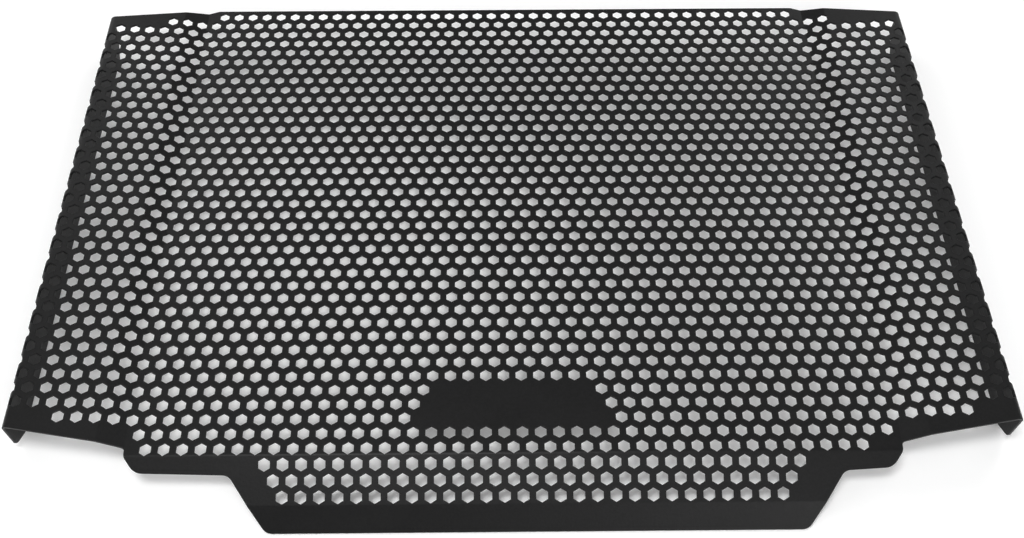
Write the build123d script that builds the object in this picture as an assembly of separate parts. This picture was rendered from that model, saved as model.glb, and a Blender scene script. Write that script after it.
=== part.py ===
from build123d import *
import math
import os

# A motorcycle radiator guard: one aluminium sheet, cut flat with hexagonal holes, then folded.
# It lies face up on its rear edges. X runs across the guard, Y up toward its top edge, Z forward.
# The origin is the middle of the guard's box, on the surface that it lies on.
# All lengths are in millimetres and all angles in degrees.

# Sheet
sheet = 1.2
bend_radius = 1.5

# Cross-section, the same all the way up the guard
guard_width = 390.0
guard_depth = 15.5
panel_width = 296.0
joggle_run = 10.5
joggle_rise = 3.1
strip_slope = 3.8

# Panel outline, measured up from the fold of the bottom tab
panel_height = 237.0
ear_step = 1.8
ear_step_run = 5.0
strip_start = 3.2
strip_taper = 8.2

# Rear corners cut off the flanges: along the end and along the rear edge
flange_foot_rise = 4.5
flange_foot_run = 7.0
flange_top_rise = 9.5
flange_top_run = 9.5

# Bottom tab and its lip, measured along the sheet from the same fold
tab_length = 18.8
tab_angle = 25.0
lip_angle = 38.0
tab_offset = 8.65
tab_top_width = 233.0
tab_bottom_width = 204.2
wing_length = 7.3
wing_rise = 1.0
wing_draft = 4.5

# Rounded corners of the cut outline
panel_corner = 4.0
notch_corner = 1.5
wing_corner = 3.5
tab_corner = 4.5
flange_corner = 1.5

# Hexagonal holes in offset rows, points up; the open share is the real one, with larger and fewer holes
hole_flats = 10.75
hole_pitch = 16.9
hole_margin = 1.5

# Plain field with no holes, a trapezoid near the foot of the panel
field_foot = 11.5
field_height = 19.3
field_top_width = 60.0
field_bottom_width = 79.0


def sine(angle):
    return math.sin(math.radians(angle))


def cosine(angle):
    return math.cos(math.radians(angle))


def tangent(angle):
    return math.tan(math.radians(angle))


# Heights and reaches of the folds
half_width = guard_width / 2
half_panel = panel_width / 2
outer_radius = bend_radius + sheet
joggle_end = half_panel + joggle_run
strip_height = guard_depth + joggle_rise
corner_height = strip_height + (half_width - joggle_end) * tangent(strip_slope)
lip_fold_height = guard_depth - tab_length * sine(tab_angle)
lip_end_height = sheet * cosine(lip_angle)
lip_length = (lip_fold_height - lip_end_height) / sine(lip_angle)
tab_reach = tab_length * cosine(tab_angle)
lip_reach = lip_length * cosine(lip_angle)

# Places up the guard, with the middle of its box at zero
fold_y = (tab_reach + lip_reach - panel_height) / 2
land_y = fold_y + outer_radius * tangent(tab_angle)
top_y = fold_y + panel_height
lip_fold_y = fold_y - tab_reach
bottom_y = lip_fold_y - lip_reach
field_y = fold_y + field_foot

# Hole lattice
hole_radius = hole_flats / math.sqrt(3)
hole_border = hole_radius + hole_margin
row_pitch = hole_pitch * math.sqrt(3) / 2


def folded_sheet(plane, front_points, fold_radii, length):
    """A sheet whose front face follows the points, rounded at the folds, carried along the plane's normal."""
    front = FilletPolyline(*front_points, radius=fold_radii)
    section = make_face(offset(front, amount=sheet, side=Side.RIGHT))
    return extrude(plane * section, amount=length)


def pierced_outline(points, radii, hole_centres):
    """A prism over a flat outline with rounded corners, pierced by hexagons that each have a corner at the top."""
    outline = FilletPolyline(*points, radius=radii, close=True)
    hexagon = RegularPolygon(hole_radius, 6, rotation=30).face().outer_wire()
    holes = [Pos(centre) * hexagon for centre in hole_centres]
    return extrude(Face(Wire(outline.edges()), holes), amount=2 * corner_height)


def hole_lattice(zone_points, low, high):
    """Hole centres in as many rows as fit from low to high, whose hexagons keep inside a flat zone."""
    zone = offset(make_face(Polyline(*zone_points, close=True)), amount=-hole_border).face()
    rows = math.floor((high - low - 2 * hole_border) / row_pitch) + 1
    first_row_y = (low + high - (rows - 1) * row_pitch) / 2
    columns = math.ceil(half_width / hole_pitch)
    centres = []
    for row in range(rows):
        shift = (row % 2) / 2
        for column in range(-columns, columns + 1):
            centre = Vector((column + shift) * hole_pitch, first_row_y + row * row_pitch)
            if zone.is_inside(centre):
                centres.append(centre)
    return centres


def mirrored(right_points):
    """An outline's right half, foot to top, followed by its mirror image from the top down."""
    return right_points + [(-x, y) for x, y in reversed(right_points)]


def panel_points(side_x):
    """Corners of the panel with its side strips, cut off at side_x on both sides."""
    taper = (side_x - half_panel) * tangent(strip_taper)
    return mirrored([
        (half_panel, fold_y),
        (half_panel, fold_y + strip_start),
        (side_x, fold_y + strip_start + taper),
        (side_x, top_y - ear_step - taper),
        (half_panel, top_y - ear_step),
        (half_panel - ear_step_run, top_y),
    ])


def tab_edge(along):
    """Half width of the tab's slanted flanks at a distance along the sheet from the fold."""
    share = (along - wing_length) / (tab_length + lip_length - wing_length)
    return (tab_top_width + (tab_bottom_width - tab_top_width) * share) / 2


def plain_field():
    """The trapezoid of the panel that has no holes."""
    half_foot = field_bottom_width / 2
    half_top = field_top_width / 2
    field_top_y = field_y + field_height
    corners = [(-half_foot, field_y), (half_foot, field_y), (half_top, field_top_y), (-half_top, field_top_y)]
    return make_face(Polyline(*corners, close=True)).face()


def panel_holes():
    """Hole centres of the panel, joggles and side strips, clear of the side bends and of the plain field."""
    centres = hole_lattice(panel_points(half_width - outer_radius), land_y, top_y)
    field = plain_field()
    return [centre for centre in centres if not field.is_inside(centre)]


def flange_side_view():
    """Everything but the rear corners of the flanges, which are cut off at both ends."""
    taper = (half_width - half_panel) * tangent(strip_taper)
    low = fold_y + strip_start + taper
    high = top_y - ear_step - taper
    clear_z = guard_depth - 2 * sheet
    corners = [
        (low + flange_foot_run, 0),
        (high - flange_top_run, 0),
        (high, flange_top_rise),
        (high, clear_z),
        (top_y, clear_z),
        (top_y, 2 * corner_height),
        (fold_y, 2 * corner_height),
        (fold_y, clear_z),
        (low, clear_z),
        (low, flange_foot_rise),
    ]
    radii = [0, 0, flange_corner, 0, 0, 0, 0, 0, 0, flange_corner]
    side = FilletPolyline(*corners, radius=radii, close=True)
    return extrude(Plane.YZ * make_face(side), amount=half_width + sheet, both=True)


def panel_and_flanges():
    """Centre panel, joggles, side strips and flanges: one section carried up the guard, then cut and pierced."""
    right = [
        (half_panel, guard_depth),
        (joggle_end, strip_height),
        (half_width, corner_height),
        (half_width, 0),
    ]
    left = [(-x, z) for x, z in reversed(right)]
    folds = [bend_radius, outer_radius, outer_radius]
    folded = folded_sheet(Plane.XZ.offset(-top_y), left + right, folds[::-1] + folds, top_y - land_y)
    corners = [0, notch_corner, 0, 0, panel_corner, panel_corner]
    plan = pierced_outline(panel_points(half_width + sheet), corners + corners[::-1], panel_holes())
    return (folded & flange_side_view()) & plan


def tab_holes():
    """One row of hexagonal prisms along the middle of the tab, square to its slope."""
    zone_points = [
        (tab_offset - tab_edge(0), 0),
        (tab_offset - tab_edge(tab_length), -tab_length),
        (tab_offset + tab_edge(tab_length), -tab_length),
        (tab_offset + tab_edge(0), 0),
    ]
    slope = Plane((0, fold_y, guard_depth), x_dir=(1, 0, 0), z_dir=(0, -sine(tab_angle), cosine(tab_angle)))
    hexagon = RegularPolygon(hole_radius, 6, rotation=30)
    centres = hole_lattice(zone_points, -tab_length, 0)
    below = slope.offset(-2 * sheet)
    return [extrude(below * Pos(centre) * hexagon, amount=4 * sheet) for centre in centres]


def tab_and_lip():
    """Bottom tab with its wings, and the lip at its end, both folded back from the panel."""
    front = [
        (bottom_y, lip_end_height),
        (lip_fold_y, lip_fold_height),
        (fold_y, guard_depth),
        (land_y, guard_depth),
    ]
    folded = folded_sheet(Plane.YZ.offset(-half_panel), front, [outer_radius, outer_radius], panel_width)
    wing_y = fold_y - wing_length * cosine(tab_angle)
    flank = [
        (tab_bottom_width / 2, bottom_y),
        (tab_edge(tab_length), lip_fold_y),
        (tab_top_width / 2, wing_y),
    ]
    wing_end_y = wing_y + wing_rise * cosine(tab_angle)
    wing = [(half_panel - wing_draft, wing_end_y), (half_panel, fold_y), (half_panel, land_y)]
    right = [(tab_offset + x, y) for x, y in flank] + wing
    left = [(tab_offset - x, y) for x, y in flank] + [(-x, y) for x, y in wing]
    corners = [tab_corner, 0, wing_corner, wing_corner, 0, 0]
    plan = pierced_outline(right + left[::-1], corners + corners[::-1], [])
    return (folded & plan) - tab_holes()


os.makedirs("parts", exist_ok=True)
export_step(panel_and_flanges() + tab_and_lip(), "parts/radiator_guard.step")
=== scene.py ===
"""A motorcycle radiator guard: one aluminium sheet, cut with hexagonal holes, folded and coated black.

The sheet is worked out flat, by its distances across and up along the sheet, and is then folded.
Across is measured from the middle of the guard, and up from the fold of the bottom tab.
Named lengths are in metres and named angles in degrees, unless a comment says otherwise.
"""
import math

import bpy
import numpy as np
from mathutils import Matrix, Vector
from mathutils.geometry import delaunay_2d_cdt


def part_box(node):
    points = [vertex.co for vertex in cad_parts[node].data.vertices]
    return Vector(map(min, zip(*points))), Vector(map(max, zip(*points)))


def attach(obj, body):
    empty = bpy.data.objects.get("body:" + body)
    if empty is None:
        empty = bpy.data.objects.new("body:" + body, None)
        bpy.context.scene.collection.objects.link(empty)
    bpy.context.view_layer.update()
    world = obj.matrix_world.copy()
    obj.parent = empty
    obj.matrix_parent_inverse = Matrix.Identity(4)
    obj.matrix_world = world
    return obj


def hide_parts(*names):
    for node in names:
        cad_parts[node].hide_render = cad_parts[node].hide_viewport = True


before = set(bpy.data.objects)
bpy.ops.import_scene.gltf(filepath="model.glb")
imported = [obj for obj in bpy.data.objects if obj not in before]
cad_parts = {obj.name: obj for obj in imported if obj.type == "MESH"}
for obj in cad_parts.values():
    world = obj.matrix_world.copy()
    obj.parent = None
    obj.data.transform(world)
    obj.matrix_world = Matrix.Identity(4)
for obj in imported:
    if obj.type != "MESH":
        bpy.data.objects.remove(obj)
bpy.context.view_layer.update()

GUARD = "radiator_guard"
guard_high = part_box(GUARD)[1]

# Sheet: its thickness, the radius of its folds at mid thickness, and the rounding of its cut edges
SHEET = 0.0012
FOLD_RADIUS = 0.0021
EDGE_ROUND = 0.00022

# Cross-section from the middle of the panel out to the flange
HALF_WIDTH = guard_high[0]
PANEL_DEPTH = 0.0155
HALF_PANEL = 0.148
JOGGLE_RUN = 0.0105
JOGGLE_RISE = 0.0031
STRIP_SLOPE = 3.8

# Panel outline
PANEL_HEIGHT = 0.237
EAR_STEP = 0.0018
EAR_STEP_RUN = 0.005
STRIP_START = 0.0032
STRIP_TAPER = 8.2

# Rear corners cut off the flanges: along the end and along the rear edge
FLANGE_FOOT_RISE = 0.0045
FLANGE_FOOT_RUN = 0.007
FLANGE_TOP_RISE = 0.0095
FLANGE_TOP_RUN = 0.0095

# Bottom tab and its lip
TAB_LENGTH = 0.0188
TAB_ANGLE = 25.0
LIP_ANGLE = 38.0
TAB_OFFSET = 0.00865
TAB_TOP_WIDTH = 0.233
TAB_BOTTOM_WIDTH = 0.2042
WING_LENGTH = 0.0073
WING_RISE = 0.001
WING_DRAFT = 0.0045

# Rounded corners of the cut outline
PANEL_CORNER = 0.004
NOTCH_CORNER = 0.0015
WING_CORNER = 0.006
WING_SIDE_CORNER = 0.005
FLANK_CORNER = 0.0042
TAB_CORNER = 0.0045
FLANGE_CORNER = 0.003
ARC_STEPS = 6

# Hexagonal holes, points up: width across flats, pitch along a row, and the height of row 0
HOLE_FLATS = 0.00445
HOLE_PITCH = 0.007
ROW_PITCH = HOLE_PITCH * math.sqrt(3) / 2
ROW_0_UP = 0.0693

# First and last hole of each row, in pitches from the middle. Odd rows have a hole on the middle line.
ODD_ROW = (-28, 28)
EVEN_ROW = (-27.5, 27.5)
TOP_ROW = -27
BOTTOM_ROW = 14
SHORT_ROWS = {
    -27: (-20, 20),
    -26: (-23.5, 22.5),
    -25: (-27, 27),
    9: (-25, 25),
    10: (-20.5, 20.5),
    11: (-20, 19),
    12: (-13.5, 15.5),
    13: (-13, 15),
    14: (-12.5, 14.5),
}
# Holes left out for the plain field near the foot of the panel, in the same terms
PLAIN_FIELD = {7: (-4, 4), 8: (-4.5, 4.5), 9: (-5, 5)}

# Fold lines in each fold, for a smooth bend, and the distance within which two points are one
SIDE_BEND_STEPS = 8
SMALL_BEND_STEPS = 3
SAME_POINT = 1e-8

# Floor: half its side, the radius of its flat part, how fast it sweeps up beyond that and how high
FLOOR_HALF = 3.2
FLOOR_FLAT = 1.6
FLOOR_SWEEP = 0.6
FLOOR_RISE = 1.0
FLOOR_STEPS = 65

# How much paler the floor is to the camera and in reflections, near the guard and far from it,
# and the radii between which that grows
LIFT_NEAR = 0.15
LIFT_FAR = 0.7
LIFT_NEAR_RADIUS = 0.4
LIFT_FAR_RADIUS = 1.7

# Light: the strength of the even surround, and each soft lamp's place, side and power in watts
SURROUND = 0.26
LAMPS = {
    "key_lamp": ((-0.131, -0.227, 0.965), 0.24, 4.7),
    "front_lamp": ((0.64, -1.1, 0.79), 0.8, 6.3),
    "side_lamp": ((-1.2, -0.7, 0.45), 0.5, 4.6),
    "left_back_lamp": ((-0.8, 1.0, 0.9), 0.6, 4.1),
    "right_back_lamp": ((0.8, 1.0, 0.9), 0.6, 4.0),
}

# Camera, found from the rows of holes. Focal length and sensor are in millimetres, the shift in
# widths of the picture.
CAMERA_PLACE = (-0.0083, -0.27726, 0.41206)
CAMERA_TARGET = (-0.00617, 0.00582, PANEL_DEPTH)
CAMERA_ROLL = -0.07
FOCAL_LENGTH = 39.228
SENSOR_WIDTH = 36.0
CAMERA_SHIFT = (0.0166, -0.0547)
NEAREST_SEEN = 0.01


def line_of_folds(front_corners):
    """The middle of the sheet behind a front face that runs through the given corners.

    Each corner moves half a sheet to the right of the way along, square to both of its runs.
    Each corner is then rounded by an arc of the fold radius, which starts and ends at
    radius times the tangent of half the turn from the corner.
    Gives the starting point and the runs in order, each with its length, first heading and curvature.
    """
    corners = np.array(front_corners)
    ways = np.diff(corners, axis=0)
    headings = np.arctan2(ways[:, 1], ways[:, 0])
    turns = np.diff(headings)
    right = np.stack([np.sin(headings), -np.cos(headings)], axis=1)
    inset = np.vstack([right[:1], right[:-1] + right[1:], right[-1:]])
    inset[1:-1] /= (1 + np.cos(turns))[:, None]
    middle = corners + inset * SHEET / 2
    setbacks = np.concatenate([[0], FOLD_RADIUS * np.tan(np.abs(turns) / 2), [0]])
    straights = np.hypot(*np.diff(middle, axis=0).T) - setbacks[:-1] - setbacks[1:]
    runs = []
    for index, straight in enumerate(straights):
        runs.append((straight, headings[index], 0.0))
        if index < len(turns):
            turn = turns[index]
            runs.append((FOLD_RADIUS * abs(turn), headings[index], np.sign(turn) / FOLD_RADIUS))
    return middle[0], runs


def carry(line, distance):
    """Place and heading at a distance along a line of folds.

    A straight run adds its length times the cosine and sine of its heading. An arc adds the change
    of the heading's sine and minus cosine, divided by its curvature.
    """
    start, runs = line
    along = np.full_like(distance, start[0])
    rise = np.full_like(distance, start[1])
    heading = np.full_like(distance, runs[0][1])
    passed = 0.0
    for length, first, curvature in runs:
        part = np.clip(distance - passed, 0, length)
        if curvature == 0:
            along += part * math.cos(first)
            rise += part * math.sin(first)
        else:
            along += (np.sin(first + curvature * part) - math.sin(first)) / curvature
            rise -= (np.cos(first + curvature * part) - math.cos(first)) / curvature
            heading += curvature * part
        passed += length
    return along, rise, heading


def length_of(line):
    """Length of a line of folds along the middle of the sheet."""
    return sum(run[0] for run in line[1])


def fold_lines(line, steps):
    """Distances along a line of folds where the sheet starts, steps through and ends each bend."""
    passed = 0.0
    places = []
    for length, _, curvature in line[1]:
        if curvature != 0:
            places.append(passed + np.linspace(0, length, steps[len(places)] + 1))
        passed += length
    return np.concatenate(places)


def tangent(angle):
    """Tangent of an angle in degrees."""
    return math.tan(math.radians(angle))


# Section across the guard, from its middle to the rear edge of a flange
joggle_end = HALF_PANEL + JOGGLE_RUN
strip_height = PANEL_DEPTH + JOGGLE_RISE
corner_height = strip_height + (HALF_WIDTH - joggle_end) * tangent(STRIP_SLOPE)
across_line = line_of_folds([
    (0, PANEL_DEPTH),
    (HALF_PANEL, PANEL_DEPTH),
    (joggle_end, strip_height),
    (HALF_WIDTH, corner_height),
    (HALF_WIDTH, 0),
])
across_end = length_of(across_line)

# Section down the guard, from its top edge over the panel, tab and lip
lip_end_height = SHEET * math.cos(math.radians(LIP_ANGLE))
tab_drop = TAB_LENGTH * math.sin(math.radians(TAB_ANGLE))
tab_reach = TAB_LENGTH * math.cos(math.radians(TAB_ANGLE))
lip_reach = (PANEL_DEPTH - tab_drop - lip_end_height) / tangent(LIP_ANGLE)
down_line = line_of_folds([
    (0, PANEL_DEPTH),
    (PANEL_HEIGHT, PANEL_DEPTH),
    (PANEL_HEIGHT + tab_reach, PANEL_DEPTH - tab_drop),
    (PANEL_HEIGHT + tab_reach + lip_reach, lip_end_height),
])
lip_end_up = PANEL_HEIGHT - length_of(down_line)


def fold(flat):
    """Folds the flat sheet: places at mid thickness, front normals, and the ways across and up.

    The section across gives x and height, and the section down gives y and a drop in height.
    No bend of one crosses a bend of the other, so the drop is added to the height.
    """
    across, up = flat.T
    side = np.sign(across)
    x, height, tilt = carry(across_line, np.abs(across))
    down, level, dip = carry(down_line, PANEL_HEIGHT - up)
    zero = np.zeros_like(across)
    places = np.stack([side * x, guard_high[1] - down, height + level - across_line[0][1]], axis=1)
    normals = np.stack([-side * np.sin(tilt), np.sin(dip), np.cos(tilt) * np.cos(dip)], axis=1)
    ways_across = np.stack([np.cos(tilt), zero, side * np.sin(tilt)], axis=1)
    ways_up = np.stack([zero, np.cos(dip), -np.sin(dip)], axis=1)
    return places, normals, ways_across, ways_up


def rounded(corners):
    """A closed outline through corners of across, up and radius, each rounded by an arc of that radius.

    An arc starts before its corner by the radius times the tangent of half the turn. It goes round a
    centre one radius to the side of that point. A corner without a radius stays one point.
    """
    points = corners[:, :2]
    radii = corners[:, 2:]
    after = np.roll(points, -1, axis=0) - points
    after /= np.linalg.norm(after, axis=1)[:, None]
    before = np.roll(after, 1, axis=0)
    left = np.stack([-before[:, 1], before[:, 0]], axis=1)
    turns = np.arctan2((left * after).sum(axis=1), (before * after).sum(axis=1))[:, None]
    starts = points - before * radii * np.tan(np.abs(turns) / 2)
    spokes = -left * radii * np.sign(turns)
    square = np.stack([-spokes[:, 1], spokes[:, 0]], axis=1)
    angles = (turns * np.linspace(0, 1, ARC_STEPS))[:, :, None]
    arcs = (starts - spokes)[:, None] + spokes[:, None] * np.cos(angles) + square[:, None] * np.sin(angles)
    kept = (radii > 0) | (np.arange(ARC_STEPS) == 0)
    return arcs[kept]


def sheet_outline():
    """The flat outline of the cut sheet, counter-clockwise from the right end of the lip."""
    low = STRIP_START + (HALF_WIDTH - HALF_PANEL) * tangent(STRIP_TAPER)
    high = PANEL_HEIGHT - EAR_STEP - (HALF_WIDTH - HALF_PANEL) * tangent(STRIP_TAPER)
    tab = [
        (TAB_BOTTOM_WIDTH / 2, lip_end_up, TAB_CORNER),
        (TAB_TOP_WIDTH / 2, -WING_LENGTH, FLANK_CORNER),
    ]
    side = [
        (HALF_PANEL - WING_DRAFT, WING_RISE - WING_LENGTH, WING_CORNER),
        (HALF_PANEL, 0, WING_SIDE_CORNER),
        (HALF_PANEL, STRIP_START, NOTCH_CORNER),
        (HALF_WIDTH, low, 0),
        (across_end - FLANGE_FOOT_RISE, low, FLANGE_CORNER),
        (across_end, low + FLANGE_FOOT_RUN, 0),
        (across_end, high - FLANGE_TOP_RUN, 0),
        (across_end - FLANGE_TOP_RISE, high, FLANGE_CORNER),
        (HALF_WIDTH, high, 0),
        (HALF_PANEL, PANEL_HEIGHT - EAR_STEP, PANEL_CORNER),
        (HALF_PANEL - EAR_STEP_RUN, PANEL_HEIGHT, PANEL_CORNER),
    ]
    right = [(TAB_OFFSET + across, up, radius) for across, up, radius in tab] + side
    left = [(TAB_OFFSET - across, up, radius) for across, up, radius in tab]
    left += [(-across, up, radius) for across, up, radius in side]
    return rounded(np.array(right + left[::-1]))


def hole_centres():
    """Flat places of the hexagonal holes, row by row, without those of the plain field."""
    centres = []
    for row in range(TOP_ROW, BOTTOM_ROW + 1):
        first, last = SHORT_ROWS.get(row, ODD_ROW if row % 2 else EVEN_ROW)
        columns = np.arange(first, last + 1)
        if row in PLAIN_FIELD:
            columns = columns[(columns < PLAIN_FIELD[row][0]) | (columns > PLAIN_FIELD[row][1])]
        ups = np.full_like(columns, ROW_0_UP - row * ROW_PITCH, dtype=float)
        centres.append(np.stack([columns * HOLE_PITCH, ups], axis=1))
    return np.concatenate(centres)


def inset_loop(loop, amount):
    """A closed counter-clockwise loop moved inward, each point along the mitre of its two edges."""
    ways = np.roll(loop, -1, axis=0) - loop
    ways /= np.linalg.norm(ways, axis=1)[:, None]
    inward = np.stack([-ways[:, 1], ways[:, 0]], axis=1)
    mitre = inward + np.roll(inward, 1, axis=0)
    return loop + mitre * 2 * amount / (mitre ** 2).sum(axis=1)[:, None]


def flat_face():
    """The flat front face, short of its rounded edges: points and triangles.

    Outline, holes and fold lines are the edges of one constrained triangulation, and the triangles
    that lie inside the outline and in no hole are kept.
    """
    outline = inset_loop(sheet_outline(), EDGE_ROUND)
    corner_angles = np.radians(30 + 60 * np.arange(6))
    hole_radius = (HOLE_FLATS / 2 + EDGE_ROUND) / math.cos(math.radians(30))
    hexagon = hole_radius * np.stack([np.cos(corner_angles), np.sin(corner_angles)], axis=1)
    holes = (hole_centres()[:, None] + hexagon).reshape(-1, 2)
    side_folds = fold_lines(across_line, [SMALL_BEND_STEPS, SMALL_BEND_STEPS, SIDE_BEND_STEPS])
    side_folds = np.concatenate([side_folds, -side_folds])
    tab_folds = PANEL_HEIGHT - fold_lines(down_line, [SMALL_BEND_STEPS, SMALL_BEND_STEPS])
    reach_up = np.tile([lip_end_up, PANEL_HEIGHT], len(side_folds))
    reach_across = np.tile([-HALF_PANEL, HALF_PANEL], len(tab_folds))
    fold_ends = np.concatenate([
        np.stack([np.repeat(side_folds, 2), reach_up], axis=1),
        np.stack([reach_across, np.repeat(tab_folds, 2)], axis=1),
    ])
    points = np.concatenate([outline, holes, fold_ends])
    hole_faces = len(outline) + np.arange(len(holes)).reshape(-1, 6)
    fold_edges = len(outline) + len(holes) + np.arange(len(fold_ends)).reshape(-1, 2)
    faces = [list(range(len(outline)))] + hole_faces.tolist()
    inside_faces = 1
    corners, _, triangles, _, _, owners = delaunay_2d_cdt(
        points.tolist(), fold_edges.tolist(), faces, inside_faces, SAME_POINT)
    in_sheet = np.array([owner == [0] for owner in owners])
    triangles = np.array(triangles)[in_sheet]
    used, triangles = np.unique(triangles, return_inverse=True)
    return np.array(corners)[used], triangles.reshape(-1, 3)


def cut_edges(flat, triangles):
    """Edges of the face that no other triangle shares, with the sheet on their left.

    Gives the edges and their outward normals, which are the ways along turned to the right.
    """
    starts = triangles.ravel()
    ends = np.roll(triangles, -1, axis=1).ravel()
    count = len(flat)
    alone = ~np.isin(starts * count + ends, ends * count + starts)
    edges = np.stack([starts[alone], ends[alone]], axis=1)
    ways = flat[edges[:, 1]] - flat[edges[:, 0]]
    ways /= np.linalg.norm(ways, axis=1)[:, None]
    return edges, np.stack([ways[:, 1], -ways[:, 0]], axis=1)


def guard_mesh():
    """The folded sheet: its front and back faces, joined round every cut edge.

    The joint is a rounding, a wall and a rounding. A wall's points lie outside the face's edge by the
    rounding, along the mitre of the two edges that meet there.
    Normals are exact: the fold's own on the faces, and square to the cut on the walls.
    """
    flat, triangles = flat_face()
    edges, outward = cut_edges(flat, triangles)
    mitre = np.zeros_like(flat)
    np.add.at(mitre, edges[:, 0], outward)
    np.add.at(mitre, edges[:, 1], outward)
    rim = np.unique(edges)
    grown = flat.copy()
    grown[rim] += mitre[rim] * 2 * EDGE_ROUND / (mitre[rim] ** 2).sum(axis=1)[:, None]

    places, normals, _, _ = fold(flat)
    wall_places, wall_fronts, ways_across, ways_up = fold(grown)
    half = SHEET / 2
    rings = [
        places + half * normals,
        wall_places + (half - EDGE_ROUND) * wall_fronts,
        wall_places - (half - EDGE_ROUND) * wall_fronts,
        places - half * normals,
    ]
    starts, ends = edges.T
    count = len(flat)
    quads = np.concatenate([
        np.stack([starts, starts + count, ends + count, ends], axis=1) + ring * count
        for ring in range(3)
    ])
    front_starts = normals[starts]
    front_ends = normals[ends]
    wall_starts = outward[:, :1] * ways_across[starts] + outward[:, 1:] * ways_up[starts]
    wall_ends = outward[:, :1] * ways_across[ends] + outward[:, 1:] * ways_up[ends]
    quad_normals = np.concatenate([
        np.stack([front_starts, wall_starts, wall_ends, front_ends], axis=1),
        np.stack([wall_starts, wall_starts, wall_ends, wall_ends], axis=1),
        np.stack([wall_starts, -front_starts, -front_ends, wall_ends], axis=1),
    ])
    back = triangles[:, ::-1]
    loop_normals = np.concatenate([
        normals[triangles].reshape(-1, 3),
        -normals[back].reshape(-1, 3),
        quad_normals.reshape(-1, 3),
    ])
    loops = np.concatenate([triangles.ravel(), back.ravel() + 3 * count, quads.ravel()])
    used, loops = np.unique(loops, return_inverse=True)
    sizes = np.concatenate([np.full(2 * len(triangles), 3), np.full(len(quads), 4)])

    mesh = bpy.data.meshes.new("perforated_sheet")
    mesh.vertices.add(len(used))
    mesh.vertices.foreach_set("co", np.concatenate(rings)[used].ravel())
    mesh.loops.add(len(loops))
    mesh.loops.foreach_set("vertex_index", loops)
    mesh.polygons.add(len(sizes))
    mesh.polygons.foreach_set("loop_start", np.cumsum(sizes) - sizes)
    mesh.update(calc_edges=True)
    mesh.validate()
    mesh.polygons.foreach_set("use_smooth", np.ones(len(sizes), dtype=bool))
    mesh.normals_split_custom_set(loop_normals.tolist())
    return mesh


def black_powder_coat():
    """Black satin powder coat: a fine orange peel in bump and colour, and broad clouds in the gloss."""
    material = bpy.data.materials.new("black_powder_coat")
    material.use_nodes = True
    nodes = material.node_tree.nodes
    links = material.node_tree.links
    shader = nodes["Principled BSDF"]
    shader.inputs["Specular IOR Level"].default_value = 0.21
    place = nodes.new("ShaderNodeTexCoord")

    peel = nodes.new("ShaderNodeTexNoise")
    peel.inputs["Scale"].default_value = 1000.0
    peel.inputs["Detail"].default_value = 3.0
    links.new(place.outputs["Object"], peel.inputs["Vector"])
    bump = nodes.new("ShaderNodeBump")
    bump.inputs["Strength"].default_value = 0.5
    bump.inputs["Distance"].default_value = 0.0001
    links.new(peel.outputs["Fac"], bump.inputs["Height"])
    links.new(bump.outputs["Normal"], shader.inputs["Normal"])

    cloud = nodes.new("ShaderNodeTexNoise")
    cloud.inputs["Scale"].default_value = 60.0
    cloud.inputs["Detail"].default_value = 3.0
    links.new(place.outputs["Object"], cloud.inputs["Vector"])
    gloss = nodes.new("ShaderNodeMapRange")
    gloss.inputs["To Min"].default_value = 0.38
    gloss.inputs["To Max"].default_value = 0.5
    links.new(cloud.outputs["Fac"], gloss.inputs["Value"])
    links.new(gloss.outputs["Result"], shader.inputs["Roughness"])

    black = nodes.new("ShaderNodeMix")
    black.data_type = "RGBA"
    black.inputs["A"].default_value = (0.0016, 0.0016, 0.0017, 1)
    black.inputs["B"].default_value = (0.0088, 0.0088, 0.0091, 1)
    links.new(peel.outputs["Fac"], black.inputs["Factor"])
    links.new(black.outputs["Result"], shader.inputs["Base Color"])
    return material


def pale_floor():
    """A plain white floor, paler to the camera and in reflections than the light alone makes it.

    The lift is small round the guard, where the lamps reach, and grows to white away from it.
    """
    material = bpy.data.materials.new("pale_floor")
    material.use_nodes = True
    nodes = material.node_tree.nodes
    links = material.node_tree.links
    shader = nodes["Principled BSDF"]
    shader.inputs["Base Color"].default_value = (0.93, 0.93, 0.93, 1)
    shader.inputs["Roughness"].default_value = 0.6
    shader.inputs["Emission Color"].default_value = (1, 1, 1, 1)

    place = nodes.new("ShaderNodeTexCoord")
    away = nodes.new("ShaderNodeVectorMath")
    away.operation = "LENGTH"
    links.new(place.outputs["Object"], away.inputs[0])
    lift = nodes.new("ShaderNodeMapRange")
    lift.interpolation_type = "SMOOTHSTEP"
    lift.inputs["From Min"].default_value = LIFT_NEAR_RADIUS
    lift.inputs["From Max"].default_value = LIFT_FAR_RADIUS
    lift.inputs["To Min"].default_value = LIFT_NEAR
    lift.inputs["To Max"].default_value = LIFT_FAR
    links.new(away.outputs["Value"], lift.inputs["Value"])

    ray = nodes.new("ShaderNodeLightPath")
    mirrored = nodes.new("ShaderNodeMath")
    mirrored.operation = "MAXIMUM"
    links.new(ray.outputs["Is Glossy Ray"], mirrored.inputs[0])
    links.new(ray.outputs["Is Transmission Ray"], mirrored.inputs[1])
    seen = nodes.new("ShaderNodeMath")
    seen.operation = "MAXIMUM"
    links.new(ray.outputs["Is Camera Ray"], seen.inputs[0])
    links.new(mirrored.outputs["Value"], seen.inputs[1])
    glow = nodes.new("ShaderNodeMath")
    glow.operation = "MULTIPLY"
    links.new(seen.outputs["Value"], glow.inputs[0])
    links.new(lift.outputs["Result"], glow.inputs[1])
    links.new(glow.outputs["Value"], shader.inputs["Emission Strength"])
    return material


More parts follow.
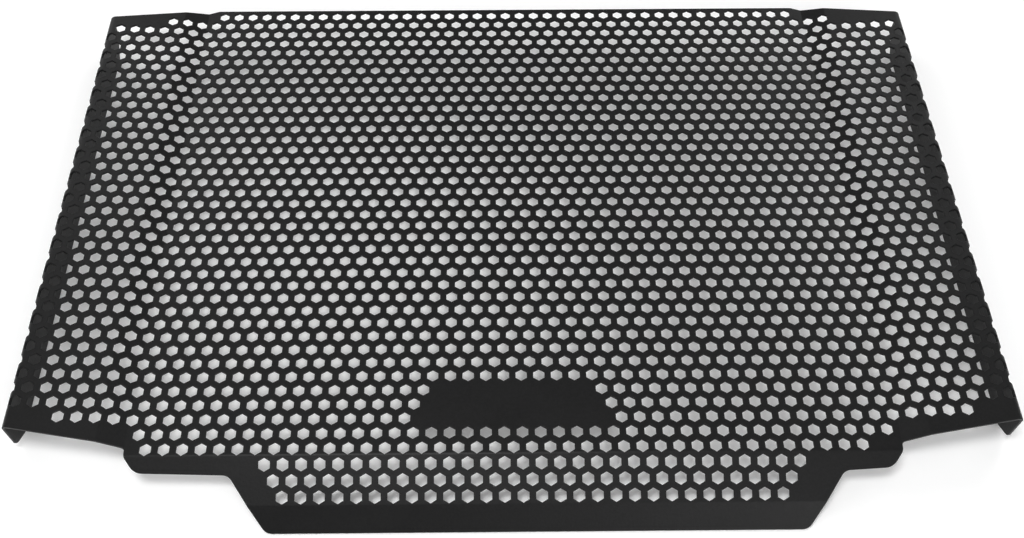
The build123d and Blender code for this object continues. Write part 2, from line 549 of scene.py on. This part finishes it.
def floor_mesh():
    """A floor that is flat round the guard and sweeps up far from it.

    Its height is zero up to the flat radius, and from there grows with the square of the distance
    beyond it, up to the height of the sweep.
    """
    steps = np.linspace(-FLOOR_HALF, FLOOR_HALF, FLOOR_STEPS)
    x, y = (grid.ravel() for grid in np.meshgrid(steps, steps))
    beyond = np.maximum(np.hypot(x, y) - FLOOR_FLAT, 0)
    height = np.minimum(FLOOR_SWEEP * beyond ** 2, FLOOR_RISE)
    cells = np.arange(FLOOR_STEPS - 1)
    corner = (cells[:, None] * FLOOR_STEPS + cells).ravel()
    quads = np.stack([corner, corner + 1, corner + 1 + FLOOR_STEPS, corner + FLOOR_STEPS], axis=1)
    mesh = bpy.data.meshes.new("floor")
    mesh.from_pydata(np.stack([x, y, height], axis=1).tolist(), [], quads.tolist())
    mesh.polygons.foreach_set("use_smooth", np.ones(len(quads), dtype=bool))
    return mesh


def add(name, data):
    """Puts a mesh, lamp or camera into the scene."""
    item = bpy.data.objects.new(name, data)
    bpy.context.collection.objects.link(item)
    return item


def facing(place, target, roll=0.0):
    """The matrix of a lamp or camera at a place that looks at a target, turned by roll about its view."""
    turn = (Vector(target) - Vector(place)).to_track_quat("-Z", "Y").to_matrix().to_4x4()
    return Matrix.Translation(place) @ turn @ Matrix.Rotation(math.radians(roll), 4, "Z")


def soft_lamp(name, place, size, power):
    """A square soft lamp that faces the floor under the middle of the guard."""
    lamp = bpy.data.lights.new(name, "AREA")
    lamp.size = size
    lamp.energy = power
    add(name, lamp).matrix_world = facing(place, (0, 0, 0))


def light_world(strength):
    """An even white surround."""
    world = bpy.data.worlds.new("surround")
    world.use_nodes = True
    background = world.node_tree.nodes["Background"]
    background.inputs["Color"].default_value = (1, 1, 1, 1)
    background.inputs["Strength"].default_value = strength
    bpy.context.scene.world = world


def set_camera():
    """The camera at the photograph's place."""
    data = bpy.data.cameras.new("camera")
    data.lens = FOCAL_LENGTH
    data.sensor_width = SENSOR_WIDTH
    data.shift_x, data.shift_y = CAMERA_SHIFT
    data.clip_start = NEAREST_SEEN
    camera = add("camera", data)
    camera.matrix_world = facing(CAMERA_PLACE, CAMERA_TARGET, CAMERA_ROLL)
    bpy.context.scene.camera = camera


guard = add("guard_sheet", guard_mesh())
guard.data.materials.append(black_powder_coat())
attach(guard, "root")
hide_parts(GUARD)

floor = add("floor", floor_mesh())
floor.data.materials.append(pale_floor())

light_world(SURROUND)
for lamp_name, (lamp_place, lamp_size, lamp_power) in LAMPS.items():
    soft_lamp(lamp_name, lamp_place, lamp_size, lamp_power)
set_camera()
bpy.context.scene.view_settings.view_transform = "Standard"
